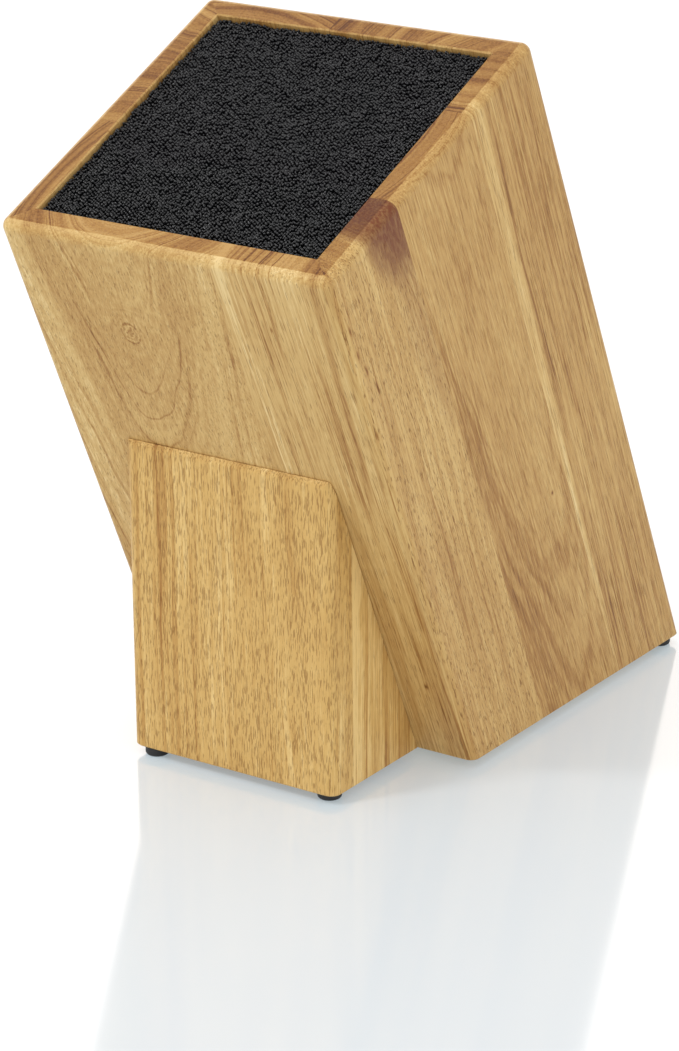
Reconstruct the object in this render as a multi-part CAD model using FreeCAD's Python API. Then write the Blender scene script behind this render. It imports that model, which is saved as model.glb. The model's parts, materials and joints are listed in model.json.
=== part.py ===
import FreeCAD, Part
import os
from math import cos, radians, sin, tan

from FreeCAD import Placement, Rotation, Vector

# A leaning knife block: a square wooden tube of edge-glued, mitred panels that leans forward
# on a wedge, with a lift-out pack of loose plastic rods inside. Units are millimetres.
#
# Two frames are used. The row frame has +Z up, X across the front and -Y towards the user.
# The tube frame is the same block stood upright: X across, V from the front face to the
# back face (along Y) and W up the tube's axis (along Z), with its origin at the middle of
# the front panel's lower outer edge. lean() turns a shape from the tube frame into the row.

# Driving dimensions of the wooden tube
BLOCK_WIDTH = 143.0      # over the side panels, along X
BLOCK_DEPTH = 143.0      # from the front face to the back face, square to both
FRONT_LENGTH = 230.0     # of the front face, along the lean
WALL = 11.0              # thickness of the four panels
LEAN_DEG = 24.0          # of the tube's axis from upright, towards -Y
EDGE_ROUND = 4.0         # on the four long outer corners and the outer edges of the rim
RIM_CHAMFER = 0.5        # on the inner edges of the rim
ARRIS = 0.5              # broken edge all round the undersides of the block and the wedge
CONTACT_ARRIS = 0.4      # broken edge of the wedge where it meets the front panel

# Where each panel's staves are glued, as fractions of the panel's width. The front and back
# panels count from the left side, and the side panels count from the front.
STAVE_JOINTS = {
    "front": [0.65],
    "right": [0.32, 0.68],
    "back": [0.43, 0.70],
    "left": [0.44, 0.85],
}

# The floor board, square to the tube's axis and let into grooves in all four panels
FLOOR_THICKNESS = 8.0
FLOOR_UNDERSIDE = 10.0   # height up the tube's axis, from the front panel's lower edge
GROOVE_DEPTH = 4.0

# The wedge under the front panel, glued up from three boards
WEDGE_WIDTH = 93.0
WEDGE_DEPTH = 56.0       # from its upright front face to the front panel's lower edge
WEDGE_TOP = 127.5        # height above the table that its rounded top would reach
WEDGE_ROUND = 4.5        # on the front face's upright edges and its top edge
WEDGE_BOARDS = {"front": 12.5, "middle": 20.0, "rear": 23.5}

# The two dowels that hold the wedge to the front panel
DOWEL_RADIUS = 4.0
DOWEL_IN_PANEL = 7.0
DOWEL_IN_WEDGE = 20.0
DOWEL_SPACING = 50.0
DOWEL_HEIGHT = 70.0      # up the tube's axis
DOWEL_CHAMFER = 0.8

# The rubber feet
FOOT_RADIUS = 4.6
FOOT_HEIGHT = 3.5
FOOT_ROUND = 1.2

# Centre of each foot, from the side and from the front or back end of the wood above it.
# They are stuck on by hand, so the two front ones differ a little.
FOOT_PLACES = {
    "front_left": (8.3, 4.9),
    "front_right": (7.1, 7.2),
    "back_left": (6.2, 7.0),
    "back_right": (6.2, 7.0),
}

# The rod pack: a base plate, and rows of rods that stand on it
PACK_CLEARANCE = 0.5     # between the pack and each panel
ROD_BASE_THICKNESS = 4.0
ROD_BASE_ROUND = 2.0
ROD_TIP_BELOW_RIM = 1.2
ROW_COUNT = 12
ROW_THICKNESS = 3.0
ROW_TIP_ROUND = 1.2

# Worked out from the driving dimensions
LEAN = radians(LEAN_DEG)
HALF_WIDTH = BLOCK_WIDTH / 2
BACK_DROP = BLOCK_DEPTH * tan(LEAN)
FLOOR_TOP = FLOOR_UNDERSIDE + FLOOR_THICKNESS
PACK_LOW = WALL + PACK_CLEARANCE
PACK_WIDTH = BLOCK_WIDTH - 2 * PACK_LOW
PACK_DEPTH = BLOCK_DEPTH - 2 * PACK_LOW
ROW_LOW = FLOOR_TOP + ROD_BASE_THICKNESS
ROW_TOP = FRONT_LENGTH - ROD_TIP_BELOW_RIM
ROW_PITCH = (PACK_WIDTH - ROW_THICKNESS) / (ROW_COUNT - 1)

# Y of the front panel's lower edge, which puts the whole block's middle at Y = 0
FOREMOST = EDGE_ROUND * cos(LEAN) - (FRONT_LENGTH - EDGE_ROUND) * sin(LEAN) - EDGE_ROUND
REARMOST = BLOCK_DEPTH / cos(LEAN)
FRONT_EDGE_Y = -(FOREMOST + REARMOST) / 2

# Cutting solids pass this far beyond what they cut, and the staves' cells this far beyond
# the panels' faces
SPARE = 20.0
CELL_SPARE = 5.0

# How closely an edge has to match a place or a direction to be picked
NEAR = 0.001
ALIGNED = 0.999

X_AXIS = Vector(1, 0, 0)
Y_AXIS = Vector(0, 1, 0)
Z_AXIS = Vector(0, 0, 1)


def lean(shape):
    """A shape of the tube frame, leaned and put in its place in the row frame."""
    leaned = shape.copy()
    rotation = Rotation(X_AXIS, LEAN_DEG)
    place = Placement(Vector(0, FRONT_EDGE_Y, FOOT_HEIGHT), rotation)
    leaned.Placement = place.multiply(shape.Placement)
    return leaned


def box(low, high):
    """A box between two corners."""
    size = Vector(*high) - Vector(*low)
    return Part.makeBox(size.x, size.y, size.z, Vector(*low))


def edges_along(shape, direction, test):
    """The shape's straight edges along a direction whose middle passes the test."""
    found = []
    for edge in shape.Edges:
        start = edge.Vertexes[0].Point
        end = edge.Vertexes[-1].Point
        run = end - start
        straight = run.Length > 0 and abs(run.normalize().dot(direction)) > ALIGNED
        if straight and test((start + end) / 2):
            found.append(edge)
    return found


def rim_edges(shape, height, test):
    """The shape's edges at a height whose middle passes the test."""
    found = []
    for edge in shape.Edges:
        at_height = all(abs(vertex.Z - height) < NEAR for vertex in edge.Vertexes)
        if at_height and test(edge.CenterOfMass):
            found.append(edge)
    return found


def inside_walls(point):
    """Whether a point of the tube frame is on or within the panels' inner faces."""
    across = abs(point.x) < HALF_WIDTH - WALL / 2
    deep = WALL / 2 < point.y < BLOCK_DEPTH - WALL / 2
    return across and deep


def outside_walls(point):
    """Whether a point at the block's underside is on or beyond the panels' outer faces."""
    deep = (point.y - FRONT_EDGE_Y) * cos(LEAN)
    return not inside_walls(Vector(point.x, deep, 0))


def tube_outside():
    """The tube's outer form as a solid, with its long corners and its rim rounded."""
    low = (-HALF_WIDTH, 0, -BACK_DROP - SPARE)
    high = (HALF_WIDTH, BLOCK_DEPTH, FRONT_LENGTH)
    solid = box(low, high)
    long_corners = edges_along(solid, Z_AXIS, lambda point: True)
    rim = rim_edges(solid, FRONT_LENGTH, lambda point: True)
    return solid.makeFillet(EDGE_ROUND, long_corners + rim)


def floor_board():
    """The floor board, in the tube frame."""
    edge = WALL - GROOVE_DEPTH
    low = (edge - HALF_WIDTH, edge, FLOOR_UNDERSIDE)
    high = (HALF_WIDTH - edge, BLOCK_DEPTH - edge, FLOOR_TOP)
    return box(low, high)


def wall_tube():
    """The four panels together, in the row frame: hollow, grooved and cut level below."""
    low = (WALL - HALF_WIDTH, WALL, -BACK_DROP - 2 * SPARE)
    high = (HALF_WIDTH - WALL, BLOCK_DEPTH - WALL, FRONT_LENGTH + SPARE)
    tube = tube_outside().cut(box(low, high))
    inner_rim = rim_edges(tube, FRONT_LENGTH, inside_walls)
    tube = tube.makeChamfer(RIM_CHAMFER, inner_rim)
    tube = tube.cut(floor_board())
    below = box(
        (-BLOCK_WIDTH, -2 * BLOCK_DEPTH, -2 * BLOCK_DEPTH),
        (BLOCK_WIDTH, 2 * BLOCK_DEPTH, FOOT_HEIGHT),
    )
    tube = lean(tube).cut(below)
    underside = rim_edges(tube, FOOT_HEIGHT, outside_walls)
    return tube.makeChamfer(ARRIS, underside)


def panel_point(side, along, inward):
    """The tube-frame X and V of a point of a panel, from its own width and thickness."""
    if side == "front":
        return (along - HALF_WIDTH, inward)
    if side == "back":
        return (along - HALF_WIDTH, BLOCK_DEPTH - inward)
    if side == "left":
        return (inward - HALF_WIDTH, along)
    return (HALF_WIDTH - inward, along)


def stave_cell(side, start, end, width):
    """A prism over one stave's share of a panel, mitred where the panel has its corners."""
    outer = -CELL_SPARE
    inner = WALL + CELL_SPARE
    left_mitre = start == 0
    right_mitre = end == width
    corners = [
        (start + outer if left_mitre else start, outer),
        (end - outer if right_mitre else end, outer),
        (end - inner if right_mitre else end, inner),
        (start + inner if left_mitre else start, inner),
    ]
    bottom = -BACK_DROP - SPARE
    points = [Vector(*panel_point(side, *corner), bottom) for corner in corners]
    face = Part.Face(Part.makePolygon(points + points[:1]))
    return face.extrude(Vector(0, 0, FRONT_LENGTH + SPARE - bottom))


def staves():
    """Every stave of the four panels, by node name."""
    tube = wall_tube()
    found = {}
    for side, joints in STAVE_JOINTS.items():
        width = BLOCK_WIDTH if side in ("front", "back") else BLOCK_DEPTH
        marks = [0] + [fraction * width for fraction in joints] + [width]
        for number, (start, end) in enumerate(zip(marks, marks[1:]), start=1):
            cell = lean(stave_cell(side, start, end, width))
            found[f"{side}_stave_{number}"] = tube.common(cell)
    return found


def on_front_panel(point):
    """Whether a point of the row frame is on the front panel's face, above the underside."""
    square_to_panel = (point.y - FRONT_EDGE_Y) * cos(LEAN) + (point.z - FOOT_HEIGHT) * sin(LEAN)
    return abs(square_to_panel) < NEAR and point.z > FOOT_HEIGHT + NEAR


def wedge_outside():
    """The wedge as one solid: an upright block, cut along the underside of the lean."""
    low = (-WEDGE_WIDTH / 2, FRONT_EDGE_Y - WEDGE_DEPTH, FOOT_HEIGHT)
    high = (WEDGE_WIDTH / 2, FRONT_EDGE_Y + SPARE, WEDGE_TOP)
    solid = box(low, high)
    in_front = lambda point: abs(point.y - low[1]) < NEAR
    front_edges = edges_along(solid, Z_AXIS, in_front) + rim_edges(solid, WEDGE_TOP, in_front)
    solid = solid.makeFillet(WEDGE_ROUND, front_edges)
    underside = rim_edges(solid, FOOT_HEIGHT, lambda point: point.y < high[1] - NEAR)
    solid = solid.makeChamfer(ARRIS, underside)
    solid = solid.cut(lean(tube_block()))
    touching = [edge for edge in solid.Edges if on_front_panel(edge.CenterOfMass)]
    return solid.makeChamfer(CONTACT_ARRIS, touching)


def tube_block():
    """The space that the tube's square outer form takes up, in the tube frame."""
    low = (-HALF_WIDTH, 0, -SPARE)
    high = (HALF_WIDTH, BLOCK_DEPTH, FRONT_LENGTH)
    return box(low, high)


def wedge_boards(dowels):
    """The wedge's three boards, by node name, with the dowels' holes."""
    whole = wedge_outside().cut(dowels)
    found = {}
    front = FRONT_EDGE_Y - WEDGE_DEPTH
    for name, thickness in WEDGE_BOARDS.items():
        low = (-WEDGE_WIDTH, front, 0)
        high = (WEDGE_WIDTH, front + thickness, WEDGE_TOP + SPARE)
        found[f"wedge_board_{name}"] = whole.common(box(low, high))
        front += thickness
    return found


def dowel_pair():
    """The two dowels, square to the front panel, in the row frame."""
    length = DOWEL_IN_PANEL + DOWEL_IN_WEDGE
    pair = []
    for side in (-1, 1):
        start = Vector(side * DOWEL_SPACING / 2, -DOWEL_IN_WEDGE, DOWEL_HEIGHT)
        dowel = Part.makeCylinder(DOWEL_RADIUS, length, start, Y_AXIS)
        rings = [edge for edge in dowel.Edges if len(edge.Vertexes) == 1]
        pair.append(lean(dowel.makeChamfer(DOWEL_CHAMFER, rings)))
    return Part.makeCompound(pair)


def feet():
    """The four feet: two under the wedge's front and two under the block's back."""
    found = {}
    for place, (from_side, from_end) in FOOT_PLACES.items():
        end, side = place.split("_")
        half_width = WEDGE_WIDTH / 2 if end == "front" else HALF_WIDTH
        x = half_width - from_side
        if end == "front":
            y = FRONT_EDGE_Y - WEDGE_DEPTH + from_end
        else:
            y = FRONT_EDGE_Y + REARMOST - from_end
        centre = Vector(-x if side == "left" else x, y, 0)
        foot = Part.makeCylinder(FOOT_RADIUS, FOOT_HEIGHT, centre)
        lower_ring = rim_edges(foot, 0, lambda point: True)
        found[f"foot_{place}"] = foot.makeFillet(FOOT_ROUND, lower_ring)
    return found


def rod_base():
    """The flat plate that the rods stand on, in the row frame."""
    low = (-PACK_WIDTH / 2, PACK_LOW, FLOOR_TOP)
    high = (PACK_WIDTH / 2, PACK_LOW + PACK_DEPTH, ROW_LOW)
    plate = box(low, high)
    corners = edges_along(plate, Z_AXIS, lambda point: True)
    return lean(plate.makeFillet(ROD_BASE_ROUND, corners))


def rod_rows():
    """The rows of rods, by node name. Each row is one plain slab as high as its rods."""
    found = {}
    for number in range(ROW_COUNT):
        left = -PACK_WIDTH / 2 + number * ROW_PITCH
        low = (left, PACK_LOW, ROW_LOW)
        high = (left + ROW_THICKNESS, PACK_LOW + PACK_DEPTH, ROW_TOP)
        slab = box(low, high)
        tips = edges_along(slab, Y_AXIS, lambda point: abs(point.z - ROW_TOP) < NEAR)
        found[f"rod_row_{number + 1:02d}"] = lean(slab.makeFillet(ROW_TIP_ROUND, tips))
    return found


def whole_model():
    """Every node of the block, by name."""
    dowels = dowel_pair()
    nodes = staves()
    for name, shape in list(nodes.items()):
        if name.startswith("front_stave"):
            nodes[name] = shape.cut(dowels)
    nodes["floor_board"] = lean(floor_board())
    nodes.update(wedge_boards(dowels))
    nodes["wedge_dowels"] = dowels
    nodes.update(feet())
    nodes["rod_base"] = rod_base()
    nodes.update(rod_rows())
    return nodes


os.makedirs("parts", exist_ok=True)
for node, shape in whole_model().items():
    shape.exportStep(f"parts/{node}.step")
    print(node, len(shape.Solids), "solid(s)", round(shape.Volume), "mm3", shape.isValid())
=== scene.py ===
import json
import random
from math import atan2, cos, pi, radians, sin, sqrt

import bpy
from mathutils import Euler, Matrix, Vector, noise


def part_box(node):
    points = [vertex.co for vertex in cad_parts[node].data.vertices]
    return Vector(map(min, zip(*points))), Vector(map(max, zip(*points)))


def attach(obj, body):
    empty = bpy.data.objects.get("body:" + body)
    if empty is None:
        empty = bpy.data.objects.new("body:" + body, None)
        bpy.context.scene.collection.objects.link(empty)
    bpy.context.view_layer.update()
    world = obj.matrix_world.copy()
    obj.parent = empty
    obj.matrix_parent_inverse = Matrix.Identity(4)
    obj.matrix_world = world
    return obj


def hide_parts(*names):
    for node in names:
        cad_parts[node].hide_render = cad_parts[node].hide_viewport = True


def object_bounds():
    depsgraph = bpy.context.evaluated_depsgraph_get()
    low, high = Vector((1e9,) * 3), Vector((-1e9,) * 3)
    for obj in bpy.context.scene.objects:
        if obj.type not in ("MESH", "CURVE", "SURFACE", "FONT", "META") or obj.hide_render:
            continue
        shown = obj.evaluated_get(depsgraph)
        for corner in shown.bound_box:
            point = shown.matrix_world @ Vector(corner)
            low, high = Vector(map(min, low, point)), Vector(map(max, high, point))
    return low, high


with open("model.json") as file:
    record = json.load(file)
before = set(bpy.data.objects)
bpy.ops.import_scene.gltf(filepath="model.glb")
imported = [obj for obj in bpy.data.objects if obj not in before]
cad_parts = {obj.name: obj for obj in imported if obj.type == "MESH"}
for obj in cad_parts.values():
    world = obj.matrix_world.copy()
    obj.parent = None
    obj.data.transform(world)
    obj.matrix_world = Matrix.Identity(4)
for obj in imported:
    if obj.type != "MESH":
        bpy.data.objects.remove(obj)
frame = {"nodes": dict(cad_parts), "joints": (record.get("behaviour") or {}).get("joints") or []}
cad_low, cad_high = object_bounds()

# Looks for the knife block. Lengths are in metres, unless a name ends in _MM or the comment
# beside them says millimetres.
#
# Wood patterns are laid out in the block's own upright frame, in millimetres: X across the
# front, V from the front face to the back and W up the leaning axis, with its origin at the
# middle of the front panel's lower edge. The wedge's frame has the same origin but stands
# upright, as the wedge does.

MM = 0.001

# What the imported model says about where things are
lift_axis = frame["joints"][0]["axis"]
LEAN = atan2(-lift_axis[1], lift_axis[2])
FOOT_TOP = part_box("foot_front_left")[1].z
FRONT_EDGE_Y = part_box("wedge_board_rear")[1].y
BLOCK_ORIGIN = Vector((0, FRONT_EDGE_Y, FOOT_TOP))
RIGHT_FACE_MM = round(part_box("right_stave_1")[1].x / MM, 3)

# Camera
VIEW_AZIMUTH = radians(34.53)
VIEW_ELEVATION = radians(20.134)
VIEW_ROLL = radians(-0.551)
VIEW_DISTANCE = 1.4061
VIEW_TARGET = (cad_low + cad_high) / 2 + Vector((0.0163, -0.0392, -0.0460))
LENS_MM = 129.16
SENSOR_MM = 36.0

# Loose rods
ROD_ROWS = 12
ROD_RADIUS = 0.00053
ROD_SPACING = 0.00120
ROD_EDGE_GAP = 1.05 * ROD_RADIUS
ROD_SIDES = 7
ROD_JITTER = 0.00016
ROD_LEAN = 0.0008
ROD_LEAN_PERIOD = 0.007
ROD_TIP_BELOW_SLAB = 0.0002
ROD_HEIGHT_DRIFT = 0.00035
ROD_HEIGHT_PERIOD = 0.009
ROD_HEIGHT_JITTER = 0.00045
ROD_SLANT = 0.5
ROD_SEED = 7

# The rounded tip of a rod: its height, then for each ring how far below the tip it lies, as a
# share of that height, and its radius, as a share of the rod's
ROD_DOME = 0.8 * ROD_RADIUS
ROD_DOME_RINGS = [(1.0, 1.0), (0.45, 0.88), (0.12, 0.55)]


# ---------------------------------------------------------------- node tree helper


class Graph:
    """One material's node tree, with a short call for each kind of node that it uses."""

    def __init__(self, name):
        self.material = bpy.data.materials.new(name)
        self.material.use_nodes = True
        self.tree = self.material.node_tree
        self.shader = self.tree.nodes["Principled BSDF"]

    def put(self, value, socket):
        """Sets a socket to a number or colour, or links an output to it."""
        if isinstance(value, bpy.types.NodeSocket):
            self.tree.links.new(value, socket)
        else:
            socket.default_value = value

    def node(self, kind, **settings):
        made = self.tree.nodes.new(kind)
        for name, value in settings.items():
            setattr(made, name, value)
        return made

    def coordinates(self, output="Object"):
        return self.node("ShaderNodeTexCoord").outputs[output]

    def math(self, operation, *values):
        made = self.node("ShaderNodeMath", operation=operation)
        for value, socket in zip(values, made.inputs):
            self.put(value, socket)
        return made.outputs[0]

    def vector(self, operation, *values):
        made = self.node("ShaderNodeVectorMath", operation=operation)
        for value, socket in zip(values, made.inputs):
            self.put(value, socket)
        scalar = operation in ("LENGTH", "DOT_PRODUCT")
        return made.outputs["Value" if scalar else "Vector"]

    def place(self, vector, location, rotation, scale):
        """A point scaled, then turned, then moved."""
        made = self.node("ShaderNodeMapping")
        self.put(vector, made.inputs["Vector"])
        made.inputs["Location"].default_value = location
        made.inputs["Rotation"].default_value = rotation
        made.inputs["Scale"].default_value = (scale, scale, scale)
        return made.outputs[0]

    def split(self, vector):
        made = self.node("ShaderNodeSeparateXYZ")
        self.put(vector, made.inputs[0])
        return made.outputs

    def join(self, x, y, z):
        made = self.node("ShaderNodeCombineXYZ")
        for value, socket in zip((x, y, z), made.inputs):
            self.put(value, socket)
        return made.outputs[0]

    def noise(self, vector, size, detail=2.0, roughness=0.5):
        """Soft noise from 0 to 1, with features of about that size along each axis."""
        scaled = self.vector("MULTIPLY", vector, tuple(1 / length for length in size))
        made = self.node("ShaderNodeTexNoise")
        self.put(scaled, made.inputs["Vector"])
        made.inputs["Scale"].default_value = 1.0
        made.inputs["Detail"].default_value = detail
        made.inputs["Roughness"].default_value = roughness
        return made.outputs["Fac"]

    def step(self, value, low, high, to_low=0.0, to_high=1.0):
        """A smooth step from one value to another."""
        made = self.node("ShaderNodeMapRange", interpolation_type="SMOOTHSTEP")
        for item, socket in zip((value, low, high, to_low, to_high), made.inputs):
            self.put(item, socket)
        return made.outputs[0]

    def mix(self, factor, first, second, blend="MIX"):
        made = self.node("ShaderNodeMix", data_type="RGBA", blend_type=blend)
        self.put(factor, made.inputs[0])
        self.put(first, made.inputs[6])
        self.put(second, made.inputs[7])
        return made.outputs[2]

    def ramp(self, factor, stops):
        """A colour ramp through (position, colour) stops."""
        made = self.node("ShaderNodeValToRGB")
        ramp = made.color_ramp
        ramp.interpolation = "EASE"
        while len(ramp.elements) < len(stops):
            ramp.elements.new(0.5)
        for element, (position, colour) in zip(ramp.elements, stops):
            element.position = position
            element.color = colour
        self.put(factor, made.inputs[0])
        return made.outputs[0]

    def swing(self, value, amount):
        """Noise from 0 to 1 turned into a swing either way about zero."""
        return self.math("MULTIPLY", self.math("SUBTRACT", value, 0.5), amount)

    def bump(self, height, distance, strength):
        made = self.node("ShaderNodeBump")
        made.inputs["Strength"].default_value = strength
        made.inputs["Distance"].default_value = distance
        self.put(height, made.inputs["Height"])
        return made.outputs[0]

    def total(self, first, *others):
        for other in others:
            first = self.math("ADD", first, other)
        return first


def rgb(red, green, blue):
    """A colour as a shader wants it, from the 0 to 255 values that a screen shows."""
    linear = []
    for value in (red, green, blue):
        value /= 255
        linear.append(value / 12.92 if value <= 0.04045 else ((value + 0.055) / 1.055) ** 2.4)
    return (*linear, 1.0)


# ---------------------------------------------------------------- wood

DEEP = rgb(116, 74, 34)
BROWN = rgb(158, 114, 60)
HONEY = rgb(186, 147, 88)
PALE = rgb(203, 168, 107)
CREAM = rgb(222, 193, 136)
PORE = rgb(112, 70, 30)
END_GRAIN = rgb(210, 190, 160)
HEARTWOOD = rgb(112, 60, 34)

WOOD_RAMP = [(0.0, DEEP), (0.26, BROWN), (0.52, HONEY), (0.76, PALE), (1.0, CREAM)]

# The wood's usual place on the ramp, and how far each layer of grain moves it from there
USUAL_SHADE = 0.56
BROAD_SHARE = 0.80
MIDDLE_SHARE = 0.52
RING_END_SHARE = -0.55
BLOTCH_SHARE = 0.36
FIBRE_SHARE = 1.9
MOTTLE_SHARE = 0.16
EXTRA_END_CONTRAST = 1.5

# A surface counts as flat end grain when it faces this squarely along the grain
FACE_LIMIT = 0.972
END_LIMIT = 0.995

# How far apart along the tree two pieces are cut, and how far a streak takes to fade at an
# end, in millimetres
TREE_STEP = 317.0
STREAK_FADE = 18

# How proud the fibres stand beside the pores
WOOD_RELIEF = 0.00014


def squared_distance(graph, point, centre, radii):
    """How far a point is from a centre, squared, in units of the radii."""
    away = graph.vector("SUBTRACT", point, centre)
    scaled = graph.vector("MULTIPLY", away, tuple(1 / radius for radius in radii))
    return graph.vector("DOT_PRODUCT", scaled, scaled)


def bell(graph, point, centre, radii):
    """A soft bell, 1 at a centre and falling away over the radii."""
    squared = squared_distance(graph, point, centre, radii)
    return graph.math("EXPONENT", graph.math("MULTIPLY", squared, -1.0))


def knot_rings(graph, point, knot):
    """Tight rings, light and dark by turns, that fade out away from the middle of a knot."""
    uneven = graph.swing(graph.noise(point, (3.0, 3.0, 3.0), detail=2.0), 1.2)
    away = graph.math("SQRT", squared_distance(graph, point, knot["centre"], knot["radii"]))
    turns = graph.math("MULTIPLY", graph.math("ADD", away, uneven), 2 * pi * knot["turns"])
    rings = graph.math("COSINE", turns)
    fade = graph.step(away, 0.1, 1.1, knot["tone"], 0.0)
    return graph.math("MULTIPLY", rings, fade)


def streak(graph, point, spec):
    """A band along the grain that runs across it at a slope, faded at its two ends."""
    x, v, w = graph.split(point)
    across = x if spec["axis"] == "x" else v
    along = graph.math("SUBTRACT", w, spec.get("from_w", 0.0))
    drift = graph.math("MULTIPLY", along, spec.get("slope", 0.0))
    off = graph.math("SUBTRACT", across, graph.math("ADD", drift, spec["at"]))
    wobble = graph.noise(point, (30.0, 30.0, 45.0), detail=1.0)
    wobble = graph.swing(wobble, spec.get("wobble", 3.0))
    off = graph.math("ABSOLUTE", graph.math("ADD", off, wobble))
    soft = spec.get("soft", 1.0)
    inside = graph.step(off, spec["half"] - soft, spec["half"] + soft, 1.0, 0.0)
    if "low" in spec:
        fade = graph.step(w, spec["low"] - STREAK_FADE, spec["low"] + STREAK_FADE)
        inside = graph.math("MULTIPLY", inside, fade)
    if "high" in spec:
        fade = graph.step(w, spec["high"] - STREAK_FADE, spec["high"] + STREAK_FADE, 1.0, 0.0)
        inside = graph.math("MULTIPLY", inside, fade)
    return graph.math("MULTIPLY", inside, spec["tone"])


def wood_points(graph, seed, pith, tilt, upright):
    """A surface point in the block's frame, and in that of the tree the piece was cut from."""
    turn = Euler((0.0 if upright else -LEAN, 0, 0))
    origin = turn.to_matrix() @ (BLOCK_ORIGIN / MM)
    point = graph.place(graph.coordinates(), -origin, turn, 1 / MM)
    tilt_turn = Euler((radians(tilt[0]), radians(tilt[1]), 0))
    shift = tilt_turn.to_matrix() @ Vector((-pith[0], -pith[1], 0))
    shift += Vector((0, 0, seed * TREE_STEP))
    return point, graph.place(point, shift, tilt_turn, 1.0)


def end_grain(graph, upright):
    """1 where the surface cuts straight across the grain, and 0 on a face along it."""
    grain_axis = Vector((0, 0, 1))
    if not upright:
        grain_axis = Matrix.Rotation(LEAN, 3, "X") @ grain_axis
    facing = graph.vector("DOT_PRODUCT", graph.coordinates("Normal"), tuple(grain_axis))
    return graph.step(graph.math("ABSOLUTE", facing), FACE_LIMIT, END_LIMIT)


def growth_rings(graph, point, tree, warp, knots):
    """The distance from the tree's centre line, made uneven, and bulged round knots."""
    rings = graph.vector("LENGTH", graph.vector("MULTIPLY", tree, (1, 1, 0)))
    wander = graph.swing(graph.noise(tree, (38.0, 38.0, 95.0), detail=2.0), 2 * warp)
    shiver = graph.swing(graph.noise(tree, (5.0, 5.0, 30.0), detail=1.0), 0.6)
    rings = graph.total(rings, wander, shiver)
    for knot in knots:
        bulge = bell(graph, point, knot["centre"], knot["radii"])
        rings = graph.math("ADD", rings, graph.math("MULTIPLY", bulge, knot["bulge"]))
    return rings


def ring_end_lines(graph, ring_point, band):
    """Thin dark lines where one ring ends, in loose groups that fade in and out."""
    ends = graph.noise(ring_point, (band / 2.6, 1.0, 260.0), detail=1.0)
    ends = graph.math("ABSOLUTE", graph.math("SUBTRACT", ends, 0.5))
    ends = graph.step(ends, 0.0, 0.05, 1.0, 0.0)
    group = graph.noise(ring_point, (band * 1.7, 1.0, 80.0), detail=1.0)
    return graph.math("MULTIPLY", ends, graph.step(group, 0.42, 0.62))


def pore_grooves(graph, tree, ring_point, band, cover, length):
    """Short grooves along the grain, closer together in some rings than in others.

    They show as dots where the wood is cut across.
    """
    grooves = graph.noise(tree, (0.42, 0.42, length), detail=1.5, roughness=0.6)
    crowd = graph.noise(ring_point, (band / 2.2, 1.0, 70.0), detail=1.0)
    edge = graph.math("MULTIPLY_ADD", crowd, -0.16, 0.79 - 0.14 * cover)
    return graph.step(graph.math("SUBTRACT", grooves, edge), -0.04, 0.05)


def heart_patch(graph, point, tree, heart):
    """The ragged, grainy patch where the tree's reddish heart comes to the surface."""
    squared = squared_distance(graph, point, heart["centre"], heart["radii"])
    ragged = graph.noise(tree, (9.0, 9.0, 13.0), detail=4.0, roughness=0.6)
    ragged = graph.swing(ragged, 0.9)
    patch = graph.step(graph.math("ADD", squared, ragged), 0.1, 1.25, 1.0, 0.0)
    grain = graph.noise(tree, (1.1, 1.1, 4.0), detail=3.0, roughness=0.6)
    grain = graph.step(grain, 0.35, 0.65, 0.78, 1.0)
    return graph.math("MULTIPLY", patch, graph.math("MULTIPLY", grain, heart["strength"]))


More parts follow.
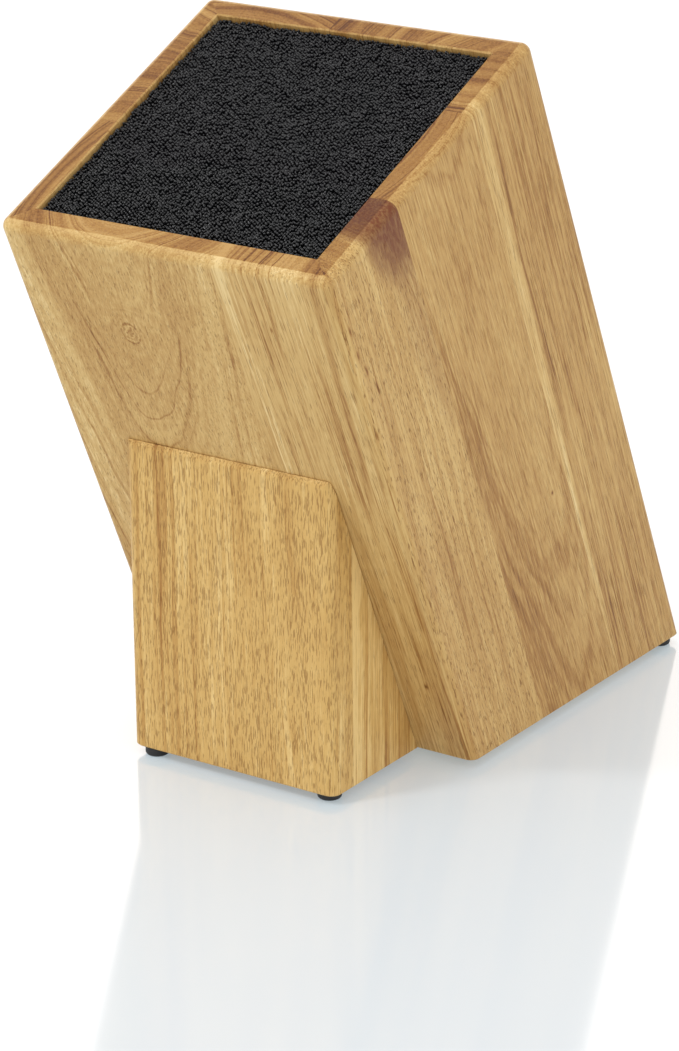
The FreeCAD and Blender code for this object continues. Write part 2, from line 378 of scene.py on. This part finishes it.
def wood(name, seed, pith, tilt=(0.0, 0.0), upright=False, tone=0.0, band=6.0, bands=0.8,
         lines=0.5, hatch=0.5, pores=0.5, pore_cover=0.5, pore_length=4.2, warp=4.0, knots=(),
         streaks=(), hearts=(), marks=(), warmth=None):
    """A piece of oiled hardwood, cut from its own place in the tree.

    pith is the tree's centre line (X, V) in millimetres and tilt its slope in degrees, which
    together decide whether a face shows straight lines or arches. warp is how far the rings
    wander, and band how wide they are. tone lightens or darkens the whole piece. bands, lines,
    hatch and pores say how strongly each layer of the grain shows.
    """
    graph = Graph(name)
    point, tree = wood_points(graph, seed, pith, tilt, upright)
    flat_end = end_grain(graph, upright)

    rings = growth_rings(graph, point, tree, warp, knots)
    ring_point = graph.join(rings, 0.0, graph.split(tree)[2])
    broad = graph.noise(ring_point, (band, 1.0, 160.0), detail=1.5, roughness=0.5)
    middle = graph.noise(ring_point, (band / 3.4, 1.0, 110.0), detail=2.0, roughness=0.6)
    blotch = graph.noise(tree, (32.0, 32.0, 110.0), detail=2.0)
    fibre = graph.noise(tree, (0.90, 0.90, 34.0), detail=3.0, roughness=0.8)
    mottle = graph.noise(tree, (2.2, 2.2, 3.4), detail=2.0)
    ring_ends = ring_end_lines(graph, ring_point, band)

    # The ring layers, which are stronger on end grain, and then the layers that are not
    layered = graph.total(
        graph.swing(broad, BROAD_SHARE * bands),
        graph.swing(middle, MIDDLE_SHARE * bands),
        graph.math("MULTIPLY", ring_ends, RING_END_SHARE * lines),
    )
    contrast = graph.math("MULTIPLY_ADD", flat_end, EXTRA_END_CONTRAST, 1.0)
    value = graph.math("MULTIPLY_ADD", layered, contrast, USUAL_SHADE + tone)
    value = graph.total(
        value,
        graph.swing(blotch, BLOTCH_SHARE),
        graph.swing(fibre, FIBRE_SHARE * hatch),
        graph.swing(mottle, MOTTLE_SHARE),
    )
    for spec in streaks:
        value = graph.math("ADD", value, streak(graph, point, spec))
    for mark in marks:
        spot = bell(graph, point, mark["centre"], mark["radii"])
        value = graph.math("ADD", value, graph.math("MULTIPLY", spot, mark["tone"]))
    for knot in knots:
        value = graph.math("ADD", value, knot_rings(graph, point, knot))
    colour = graph.ramp(value, WOOD_RAMP)

    pore = pore_grooves(graph, tree, ring_point, band, pore_cover, pore_length)
    colour = graph.mix(graph.math("MULTIPLY", pore, pores), colour, PORE)
    for heart in hearts:
        colour = graph.mix(heart_patch(graph, point, tree, heart), colour, HEARTWOOD)
    if warmth is not None:
        colour = graph.mix(1.0, colour, warmth, blend="MULTIPLY")

    # Flat end grain takes up more oil, so it is darker and warmer than the faces
    oiled = graph.mix(1.0, colour, END_GRAIN, blend="MULTIPLY")
    graph.put(graph.mix(flat_end, colour, oiled), graph.shader.inputs["Base Color"])

    # Pores and end grain are duller than the oiled face between them
    sheen = graph.noise(tree, (6.0, 6.0, 30.0), detail=2.0)
    rough = graph.math("MULTIPLY_ADD", sheen, 0.12, 0.38)
    rough = graph.math("MULTIPLY_ADD", pore, 0.18, rough)
    rough = graph.math("MULTIPLY_ADD", flat_end, 0.08, rough)
    graph.put(rough, graph.shader.inputs["Roughness"])
    graph.shader.inputs["Specular IOR Level"].default_value = 0.22

    height = graph.math("MULTIPLY_ADD", pore, -1.0, graph.math("MULTIPLY", fibre, 0.6))
    graph.put(graph.bump(height, WOOD_RELIEF, 0.6), graph.shader.inputs["Normal"])
    return graph.material


# The features that the panels show. Their places are (X, V, W) in millimetres, in the frame
# that the comment at the top describes, and a tone below zero is darker than the wood round it.


def wear(node, material):
    """Gives a CAD node its material."""
    mesh = frame["nodes"][node].data
    mesh.materials.clear()
    mesh.materials.append(material)


def dress_front_panel():
    """Two staves: one with a knot and arches, one straight-grained with orange streaks."""
    knot = {"centre": (-25.6, 0, 188.7), "radii": (7.0, 9.0, 8.5), "bulge": 8.0, "tone": -0.22,
            "turns": 2.4}
    pale_edge = {"axis": "x", "at": -68.5, "half": 9.0, "slope": -0.11, "from_w": 215.0,
                 "tone": 0.20, "soft": 1.2, "wobble": 3.0}
    pale_side = {"axis": "x", "at": 11.0, "half": 10.0, "tone": 0.12, "soft": 5.0}
    wear("front_stave_1", wood("front_wood_left", 1, (-25.0, 66.0), tilt=(-9.0, 0.0), band=4.5,
                               knots=(knot,), streaks=(pale_edge, pale_side), pores=0.45,
                               hatch=0.55, tone=0.03, warp=3.0, pore_length=7.0))
    pale = {"axis": "x", "at": 26.5, "half": 2.4, "tone": 0.20, "soft": 1.2, "wobble": 2.0,
            "slope": -0.03, "from_w": 200.0}
    orange = {"axis": "x", "at": 66.0, "half": 3.0, "tone": -0.16, "high": 120.0, "soft": 2.0}
    upper = {"axis": "x", "at": 63.0, "half": 1.6, "tone": -0.28, "low": 125.0, "soft": 1.2,
             "slope": 0.04, "from_w": 180.0}
    spots = [{"centre": (59.8, 0, 36.3), "radii": (0.8, 2.0, 1.2), "tone": -0.6},
             {"centre": (40.5, 0, 203.0), "radii": (0.6, 2.0, 1.2), "tone": -0.5}]
    wear("front_stave_2", wood("front_wood_right", 2, (-150.0, 18.0), tilt=(0.0, 1.0), band=6.0,
                               tone=0.12, streaks=(pale, orange, upper), marks=spots,
                               warp=2.5, lines=0.6, hatch=0.65, pore_length=7.0))


def dress_right_panel():
    """Three staves: reddish heartwood at the rim, plain wood, and a pale edge at the joint."""
    heart = {"centre": (69.0, 41.0, 231.0), "radii": (24.0, 18.5, 32.0), "strength": 1.0}
    halo = {"centre": (RIGHT_FACE_MM, 42.0, 185.0), "radii": (12.0, 11.0, 60.0), "strength": 0.2}
    burl = {"centre": (RIGHT_FACE_MM, 37.0, 222.0), "radii": (20.0, 15.0, 30.0), "bulge": 8.0,
            "tone": 0.0, "turns": 1.0}
    pits = [{"centre": (RIGHT_FACE_MM, v, w), "radii": (1.5, 0.55, 2.2), "tone": -0.55}
            for v, w in ((4.1, 205.5), (4.4, 194.6), (9.2, 176.8), (6.5, 186.0), (2.2, 160.0))]
    dark_foot = {"axis": "v", "at": 23.0, "half": 40.0, "tone": -0.08, "high": 100.0}
    wear("right_stave_1", wood("right_wood_front", 3, (40.0, -75.0), tilt=(1.5, 0.0), band=6.0,
                               hearts=(halo, heart), knots=(burl,), marks=pits,
                               streaks=(dark_foot,), pores=0.65,
                               pore_cover=0.75, tone=0.06, hatch=0.55, lines=0.3))
    spot = {"centre": (RIGHT_FACE_MM, 86.7, 60.9), "radii": (2.0, 0.7, 0.9), "tone": -0.7}
    dark_side = {"axis": "v", "at": 49.0, "half": 7.0, "tone": -0.12, "high": 130.0, "soft": 5.0}
    vee = {"centre": (RIGHT_FACE_MM, 77.0, 150.0), "radii": (14.0, 5.0, 24.0), "bulge": 3.0,
           "tone": 0.0, "turns": 1.0}
    wear("right_stave_2", wood("right_wood_middle", 4, (-30.0, 78.0), tilt=(0.0, -2.0), band=3.6,
                               streaks=(dark_side,), marks=(spot,), knots=(vee,), pores=0.35,
                               warp=1.6, tone=-0.06, lines=0.3, hatch=0.60, bands=0.3,
                               pore_length=12.0, pore_cover=0.7))
    pale_edge = {"axis": "v", "at": 98.2, "half": 4.2, "tone": 0.26, "soft": 1.2, "wobble": 2.0,
                 "slope": 0.03, "from_w": 110.0}
    wear("right_stave_3", wood("right_wood_back", 5, (60.0, 330.0), tilt=(1.0, 0.0), band=5.0,
                               streaks=(pale_edge,), pores=0.45, warp=3.0, tone=-0.04,
                               hatch=0.55, bands=0.6, pore_length=10.0, pore_cover=0.7))


def dress_back_and_left_panels():
    """Six plain staves, each cut from its own place."""
    wear("back_stave_1", wood("back_wood_left", 6, (-45.0, 60.0), tilt=(2.5, 0.0), band=4.5,
                              tone=-0.08, warp=2.0, lines=0.35, bands=0.7))
    wear("back_stave_2", wood("back_wood_middle", 7, (180.0, 120.0), tilt=(0.0, 1.0), band=6.0,
                              tone=-0.14, hatch=0.6, pore_length=10.0))
    wear("back_stave_3", wood("back_wood_right", 8, (190.0, 10.0), tilt=(-1.0, 0.0), band=5.0,
                              tone=-0.06, hatch=0.55, bands=0.7))
    wear("left_stave_1", wood("left_wood_front", 9, (60.0, 30.0), tilt=(0.0, 2.5), band=4.5,
                              tone=-0.02, warp=2.0, lines=0.35, bands=0.7))
    wear("left_stave_2", wood("left_wood_middle", 10, (-60.0, -120.0), tilt=(1.0, 0.0), band=6.0,
                              tone=-0.08, hatch=0.6, pore_length=10.0))
    wear("left_stave_3", wood("left_wood_back", 11, (-20.0, 260.0), tilt=(0.0, -1.0), band=5.0,
                              tone=0.0, hatch=0.55, bands=0.7))


def dress_wedge():
    """Three boards of a more golden wood, whose front is thick with pores."""
    golden = rgb(255, 250, 236)
    bands = [{"axis": "x", "at": at, "half": 0.8, "tone": -0.24, "soft": 0.8, "wobble": 2.0}
             for at in (-40.7, -31.3, -24.8)]
    wear("wedge_board_front", wood("wedge_wood_front", 12, (42.0, -84.0), tilt=(1.5, 0.0),
                                   upright=True, band=6.0, pores=0.50, pore_cover=1.0,
                                   tone=0.20, warp=3.0, lines=0.5, hatch=0.35, streaks=bands,
                                   warmth=golden))
    # The middle board's raised tone and the pale band on its side are partly paler wood and
    # partly painted light, brightening the side that the block's leaning overhang shades
    pale_wood_and_painted_light_band = {"axis": "v", "at": -41.5, "half": 4.0, "tone": 0.28, "soft": 3.0}
    wear("wedge_board_middle", wood("wedge_wood_middle", 13, (60.0, -190.0), tilt=(1.0, 0.0),
                                    upright=True, band=3.4, tone=0.22, streaks=(pale_wood_and_painted_light_band,),
                                    bands=1.0, lines=0.9, hatch=0.8, pores=0.4,
                                    pore_length=8.0, warp=2.0, warmth=golden))
    streaked = {"axis": "v", "at": -25.0, "half": 2.0, "tone": -0.22, "soft": 2.5}
    wear("wedge_board_rear", wood("wedge_wood_rear", 14, (60.0, -170.0), tilt=(1.0, 0.0),
                                  upright=True, band=3.4, tone=0.14, streaks=(streaked,),
                                  bands=1.2, lines=0.9, hatch=0.8, pores=0.4,
                                  pore_length=8.0, warp=2.0, warmth=golden))


def dress_inner_wood():
    """The floor board and the dowels, which are hidden when the block is whole."""
    wear("floor_board", wood("floor_board_wood", 15, (10.0, -90.0), tilt=(2.0, 0.0)))
    wear("wedge_dowels", wood("dowel_wood", 16, (60.0, -40.0), tilt=(88.0, 0.0)))


# ---------------------------------------------------------------- rubber and plastic

RUBBER_GRAIN = 0.0004
RUBBER_DUST = 0.003
ROD_SHADE_SIZE = 0.0011
ROD_SCUFF_SIZE = 0.00035
SKIN_RELIEF = 0.00008


def rubber():
    """Black moulded rubber with a fine matt skin."""
    graph = Graph("foot_rubber")
    point = graph.coordinates()
    grain = graph.noise(point, (RUBBER_GRAIN,) * 3, detail=3.0)
    dust = graph.noise(point, (RUBBER_DUST,) * 3, detail=2.0)
    graph.put(graph.ramp(dust, [(0.3, rgb(18, 18, 19)), (0.8, rgb(34, 34, 35))]),
              graph.shader.inputs["Base Color"])
    graph.put(graph.math("MULTIPLY_ADD", dust, 0.2, 0.48), graph.shader.inputs["Roughness"])
    graph.put(graph.bump(grain, SKIN_RELIEF, 0.5), graph.shader.inputs["Normal"])
    return graph.material


def rod_plastic():
    """Black plastic, with each rod a little different in shade and gloss from the next."""
    graph = Graph("rod_plastic")
    point = graph.coordinates()
    shade = graph.noise(point, (ROD_SHADE_SIZE,) * 3, detail=1.0)
    scuff = graph.noise(point, (ROD_SCUFF_SIZE,) * 3, detail=2.0)
    graph.put(graph.ramp(shade, [(0.35, rgb(4, 4, 5)), (0.65, rgb(17, 17, 20))]),
              graph.shader.inputs["Base Color"])
    graph.put(graph.math("MULTIPLY_ADD", shade, 0.2, 0.12), graph.shader.inputs["Roughness"])
    graph.shader.inputs["Specular IOR Level"].default_value = 0.42
    graph.put(graph.bump(scuff, SKIN_RELIEF, 0.35), graph.shader.inputs["Normal"])
    return graph.material


# ---------------------------------------------------------------- loose rods


def to_row(x, v, w):
    """A point of the block's upright frame, in metres, as a point of the row frame."""
    y = v * cos(LEAN) - w * sin(LEAN)
    z = v * sin(LEAN) + w * cos(LEAN)
    return BLOCK_ORIGIN + Vector((x, y, z))


def to_block(point):
    """A point of the row frame as a point of the block's upright frame, in metres."""
    x, y, z = point - BLOCK_ORIGIN
    return Vector((x, y * cos(LEAN) + z * sin(LEAN), -y * sin(LEAN) + z * cos(LEAN)))


def pack_space():
    """The lowest and highest corners of the rods' space, in the block's upright frame."""
    corners = []
    for number in range(1, ROD_ROWS + 1):
        mesh = frame["nodes"][f"rod_row_{number:02d}"].data
        corners += [to_block(vertex.co) for vertex in mesh.vertices]
    low = Vector([min(corner[i] for corner in corners) for i in range(3)])
    high = Vector([max(corner[i] for corner in corners) for i in range(3)])
    return low, high


def drift(x, v, period, seed):
    """A smooth value from -1 to 1 that wanders over the rods."""
    return noise.noise(Vector((x / period, v / period, seed)))


def rod_rings(foot, tip):
    """The rings of a rod's outline, from its foot to its tip: height and radius."""
    dome = [(tip - below * ROD_DOME, share * ROD_RADIUS) for below, share in ROD_DOME_RINGS]
    return [(foot, ROD_RADIUS), *dome]


def add_rod(vertices, faces, foot, tip, slant):
    """Adds one rod, a slim bar from foot to tip, whose rounded tip is cut at a slant."""
    start = len(vertices)
    rings = rod_rings(foot.z, tip.z)
    for level, (height, radius) in enumerate(rings):
        centre = foot.lerp(tip, (height - foot.z) / (tip.z - foot.z))
        for side in range(ROD_SIDES):
            angle = 2 * pi * side / ROD_SIDES
            x = radius * cos(angle)
            v = radius * sin(angle)
            rise = x * slant.x + v * slant.y if level else 0.0
            vertices.append(to_row(centre.x + x, centre.y + v, height + rise))
    vertices.append(to_row(*tip))
    faces.append([start + side for side in reversed(range(ROD_SIDES))])
    for level in range(len(rings) - 1):
        for side in range(ROD_SIDES):
            here = start + level * ROD_SIDES
            after = (side + 1) % ROD_SIDES
            faces.append([here + side, here + after, here + ROD_SIDES + after,
                          here + ROD_SIDES + side])
    top = start + (len(rings) - 1) * ROD_SIDES
    for side in range(ROD_SIDES):
        faces.append([top + side, top + (side + 1) % ROD_SIDES, top + ROD_SIDES])


def rod_places(low, high, chance):
    """Foot, tip and slant of every rod: close-packed, then jittered, tipped and uneven."""
    places = []
    column_step = ROD_SPACING * sqrt(3) / 2
    left, right = low.x + ROD_EDGE_GAP, high.x - ROD_EDGE_GAP
    front, back = low.y + ROD_EDGE_GAP, high.y - ROD_EDGE_GAP
    columns = int((right - left) / column_step) + 1
    rows = int((back - front) / ROD_SPACING) + 1
    mean_tip = high.z - ROD_TIP_BELOW_SLAB
    for column in range(columns):
        for row in range(rows):
            x = left + column * column_step
            v = front + (row + 0.5 * (column % 2)) * ROD_SPACING
            x += chance.uniform(-ROD_JITTER, ROD_JITTER)
            v += chance.uniform(-ROD_JITTER, ROD_JITTER)
            tip_x = x + ROD_LEAN * drift(x, v, ROD_LEAN_PERIOD, 1.7)
            tip_v = v + ROD_LEAN * drift(x, v, ROD_LEAN_PERIOD, 9.3)
            tip_w = mean_tip + ROD_HEIGHT_DRIFT * drift(x, v, ROD_HEIGHT_PERIOD, 4.1)
            tip_w += chance.uniform(-ROD_HEIGHT_JITTER, ROD_HEIGHT_JITTER)
            foot = Vector((x, v, low.z))
            tip = Vector((tip_x, tip_v, tip_w))
            for point in (foot, tip):
                point.x = min(max(point.x, left), right)
                point.y = min(max(point.y, front), back)
            slant = Vector((chance.uniform(-1, 1), chance.uniform(-1, 1))) * ROD_SLANT
            places.append((foot, tip, slant))
    return places


def make_rods(material):
    """The rods, in one piece for each row of the CAD model that they stand for."""
    chance = random.Random(ROD_SEED)
    low, high = pack_space()
    shares = [([], []) for _ in range(ROD_ROWS)]
    for foot, tip, slant in rod_places(low, high, chance):
        share = min(ROD_ROWS - 1, int(ROD_ROWS * (foot.x - low.x) / (high.x - low.x)))
        add_rod(*shares[share], foot, tip, slant)
    for number, (vertices, faces) in enumerate(shares, start=1):
        mesh = bpy.data.meshes.new(f"rods_{number:02d}")
        mesh.from_pydata(vertices, [], faces)
        mesh.polygons.foreach_set("use_smooth", [len(face) < ROD_SIDES for face in faces])
        mesh.materials.append(material)
        rods = bpy.data.objects.new(mesh.name, mesh)
        bpy.context.scene.collection.objects.link(rods)
        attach(rods, "rod_pack")
        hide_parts(f"rod_row_{number:02d}")


# ---------------------------------------------------------------- room

# The backdrop is a round glow on the studio's far wall, low behind the block
BACKDROP_DIRECTION = (
    -sin(VIEW_AZIMUTH) * cos(VIEW_ELEVATION),
    cos(VIEW_AZIMUTH) * cos(VIEW_ELEVATION),
    sin(VIEW_ELEVATION),
)
BACKDROP_STRENGTH = 1.8
BACKDROP_CORE = radians(26)
BACKDROP_EDGE = radians(40)

# The white table: what it scatters, what it lets through from below, and what it mirrors
TABLE_HALF_WIDTH = 9.0
TABLE_MATT = (0.355, 0.394, 0.426, 1)
TABLE_GLOW = (0.258, 0.300, 0.318, 1)
TABLE_GLOSS = (0.232, 0.185, 0.154, 1)
TABLE_ROUGHNESS = 0.10

WHITE = (1.0, 1.0, 1.0, 1)


def make_floor():
    """A glossy white table, far wider than the view."""
    graph = Graph("floor_gloss_white")
    tree = graph.tree
    matt = graph.node("ShaderNodeBsdfDiffuse")
    matt.inputs["Color"].default_value = TABLE_MATT
    glow = graph.node("ShaderNodeEmission")
    glow.inputs["Color"].default_value = TABLE_GLOW
    gloss = graph.node("ShaderNodeBsdfGlossy")
    gloss.inputs["Color"].default_value = TABLE_GLOSS
    gloss.inputs["Roughness"].default_value = TABLE_ROUGHNESS
    lit = graph.node("ShaderNodeAddShader")
    whole = graph.node("ShaderNodeAddShader")
    tree.links.new(matt.outputs[0], lit.inputs[0])
    tree.links.new(glow.outputs[0], lit.inputs[1])
    tree.links.new(lit.outputs[0], whole.inputs[0])
    tree.links.new(gloss.outputs[0], whole.inputs[1])
    tree.links.new(whole.outputs[0], tree.nodes["Material Output"].inputs["Surface"])
    tree.nodes.remove(graph.shader)
    half = TABLE_HALF_WIDTH
    corners = [(-half, -half, 0), (half, -half, 0), (half, half, 0), (-half, half, 0)]
    mesh = bpy.data.meshes.new("floor")
    mesh.from_pydata(corners, [], [(0, 1, 2, 3)])
    mesh.materials.append(graph.material)
    floor = bpy.data.objects.new("floor", mesh)
    bpy.context.scene.collection.objects.link(floor)


def make_world():
    """An even white studio all round, with a brighter backdrop behind the block."""
    world = bpy.data.worlds.new("studio")
    world.use_nodes = True
    tree = world.node_tree
    direction = tree.nodes.new("ShaderNodeTexCoord")
    toward = tree.nodes.new("ShaderNodeVectorMath")
    toward.operation = "DOT_PRODUCT"
    toward.inputs[1].default_value = BACKDROP_DIRECTION
    strength = tree.nodes.new("ShaderNodeMapRange")
    strength.interpolation_type = "SMOOTHSTEP"
    strength.inputs["From Min"].default_value = cos(BACKDROP_EDGE)
    strength.inputs["From Max"].default_value = cos(BACKDROP_CORE)
    strength.inputs["To Min"].default_value = 1.0
    strength.inputs["To Max"].default_value = BACKDROP_STRENGTH
    background = tree.nodes["Background"]
    background.inputs["Color"].default_value = WHITE
    tree.links.new(direction.outputs["Generated"], toward.inputs[0])
    tree.links.new(toward.outputs["Value"], strength.inputs["Value"])
    tree.links.new(strength.outputs["Result"], background.inputs["Strength"])
    bpy.context.scene.world = world


def add_softbox(name, place, size, power):
    """A square soft light that faces the middle of the block."""
    light = bpy.data.lights.new(name, "AREA")
    light.shape = "SQUARE"
    light.size = size
    light.energy = power
    lamp = bpy.data.objects.new(name, light)
    lamp.location = place
    middle = (cad_low + cad_high) / 2
    lamp.rotation_euler = (Vector(place) - middle).to_track_quat("Z", "Y").to_euler()
    bpy.context.scene.collection.objects.link(lamp)


def make_lights():
    """A small key light from the front left and a wide fill light from the right."""
    add_softbox("key", (-0.7, -1.2, 1.7), 0.30, 12.5)
    add_softbox("fill", (1.7, -0.2, 0.7), 1.2, 4.5)


def make_camera():
    """The camera, turned to the photograph's angle."""
    back = Vector((
        sin(VIEW_AZIMUTH) * cos(VIEW_ELEVATION),
        -cos(VIEW_AZIMUTH) * cos(VIEW_ELEVATION),
        sin(VIEW_ELEVATION),
    ))
    lens = bpy.data.cameras.new("camera")
    lens.lens = LENS_MM
    lens.sensor_width = SENSOR_MM
    lens.clip_start = 0.05
    lens.clip_end = 60.0
    camera = bpy.data.objects.new("camera", lens)
    upright = (-back).to_track_quat("-Z", "Y").to_matrix()
    camera.rotation_euler = (upright @ Matrix.Rotation(VIEW_ROLL, 3, "Z")).to_euler()
    camera.location = VIEW_TARGET + back * VIEW_DISTANCE
    bpy.context.scene.collection.objects.link(camera)
    bpy.context.scene.camera = camera


# ---------------------------------------------------------------- the whole scene

bpy.context.scene.view_settings.view_transform = "Standard"
make_camera()
make_world()
make_lights()
make_floor()

dress_front_panel()
dress_right_panel()
dress_back_and_left_panels()
dress_wedge()
dress_inner_wood()

foot_material = rubber()
for foot in ("front_left", "front_right", "back_left", "back_right"):
    wear(f"foot_{foot}", foot_material)

rod_material = rod_plastic()
wear("rod_base", rod_material)
make_rods(rod_material)
